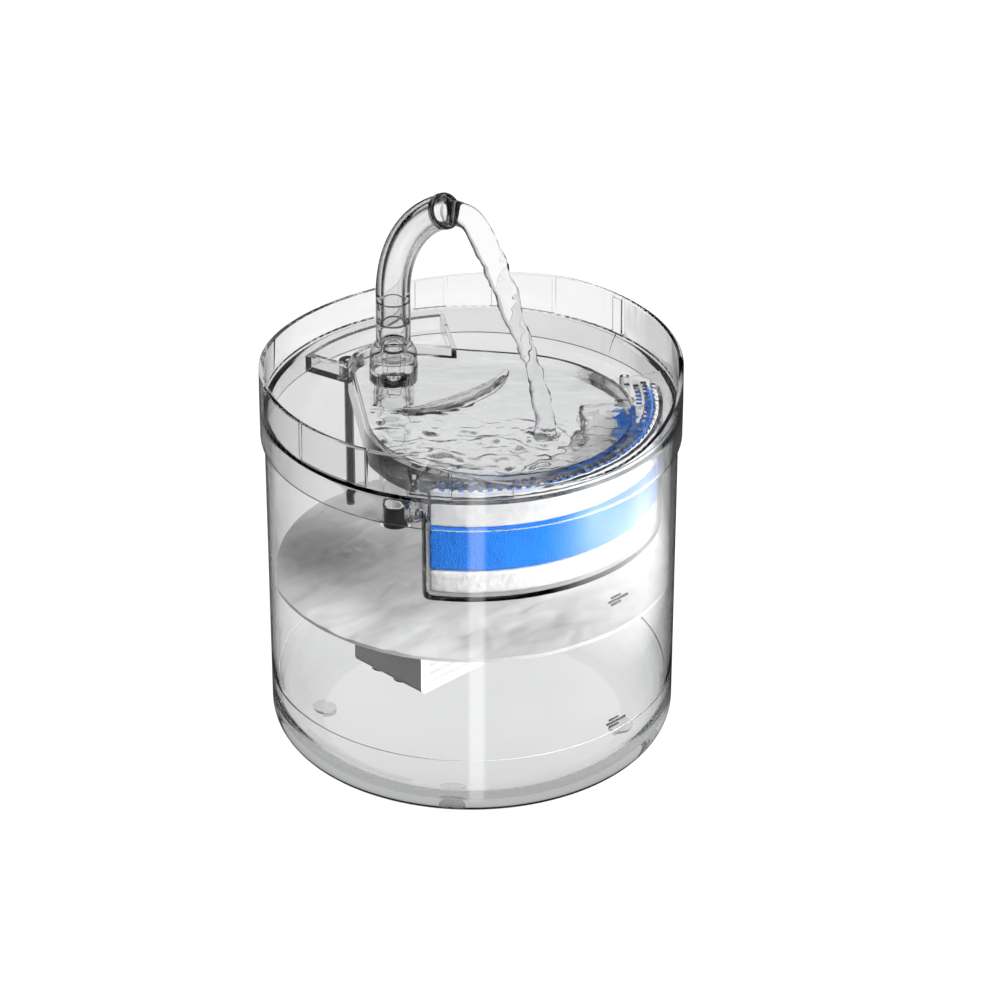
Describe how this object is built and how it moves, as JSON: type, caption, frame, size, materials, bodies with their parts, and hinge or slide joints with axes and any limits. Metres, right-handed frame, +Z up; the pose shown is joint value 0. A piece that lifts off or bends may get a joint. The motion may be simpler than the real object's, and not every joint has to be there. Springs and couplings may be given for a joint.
{
  "type": "pet water fountain",
  "caption": "Clear round pet water fountain: tank, drinking tray with swivelling gooseneck faucet, hanging filter box and submersible pump.",
  "frame": {"origin": "on the tank's axis, on the surface that the feet stand on", "axes": "+Z up along the tank's axis, the drinking side and the filter box face -Y, the faucet stands towards +Y, +X is to the right seen from the drinking side"},
  "size_m": [0.171, 0.171, 0.2375],
  "materials": {
    "clear_plastic": "clear moulded plastic, polished",
    "clear_silicone": "translucent silicone",
    "smoke_plastic": "smoke-grey clear plastic",
    "black_rubber": "soft black rubber",
    "white_cotton": "fluffy white filter cotton",
    "blue_foam": "open-cell blue filter foam",
    "grey_foam": "open-cell dark grey foam",
    "white_plastic": "satin white moulded plastic",
    "steel_laminations": "stacked steel laminations",
    "copper_winding": "enamelled copper wire",
    "shaft_ceramic": "ground ceramic",
    "magnet_ferrite": "dark ferrite"
  },
  "bodies": {
    "tank": {"tank": "clear_plastic", "foot_pads": "clear_silicone", "pump_housing": "white_plastic", "pump_back_plate": "white_plastic", "lead_gland": "clear_silicone", "stator_core": "steel_laminations", "stator_coil": "copper_winding", "suction_cups": "clear_silicone", "outlet_nozzle": "white_plastic", "outlet_sleeve": "black_rubber", "volute_cover": "white_plastic", "rotor_shaft": "shaft_ceramic", "shaft_bushes": "black_rubber"},
    "tray": {"tray": "clear_plastic", "tray_rim": "clear_plastic", "riser_spigot": "clear_plastic", "spigot_ring": "black_rubber", "riser_tube": "clear_plastic", "lead_guide": "clear_plastic", "lead_grommet": "clear_silicone"},
    "faucet": {"faucet_stem": "clear_plastic", "faucet_neck": "clear_plastic", "spout_ring": "smoke_plastic"},
    "filter": {"filter_box": "clear_plastic", "lower_cotton": "white_cotton", "blue_sponge": "blue_foam", "media_pack": "white_cotton", "upper_cotton": "white_cotton"},
    "rotor": {"rotor_magnet": "magnet_ferrite", "impeller": "white_plastic"},
    "intake": {"intake_cover": "white_plastic", "intake_sponge": "grey_foam"}
  },
  "joints": [
    {"name": "tray_lift", "type": "slide", "parent": "tank", "child": "tray", "axis": [0, 0, 1], "range_m": [0, 0.12]},
    {"name": "faucet_swivel", "type": "hinge", "parent": "tray", "child": "faucet", "pos_m": [0, 0.045, 0.16], "axis": [0, 0, 1], "continuous": true},
    {"name": "filter_release", "type": "slide", "parent": "tray", "child": "filter", "axis": [0, 0, -1], "range_m": [0, 0.05]},
    {"name": "rotor_spin", "type": "hinge", "parent": "tank", "child": "rotor", "pos_m": [0.011, 0.045, 0.0231], "axis": [0, 1, 0], "continuous": true},
    {"name": "intake_release", "type": "slide", "parent": "tank", "child": "intake", "axis": [0, -1, 0], "range_m": [0, 0.015]}
  ]
}
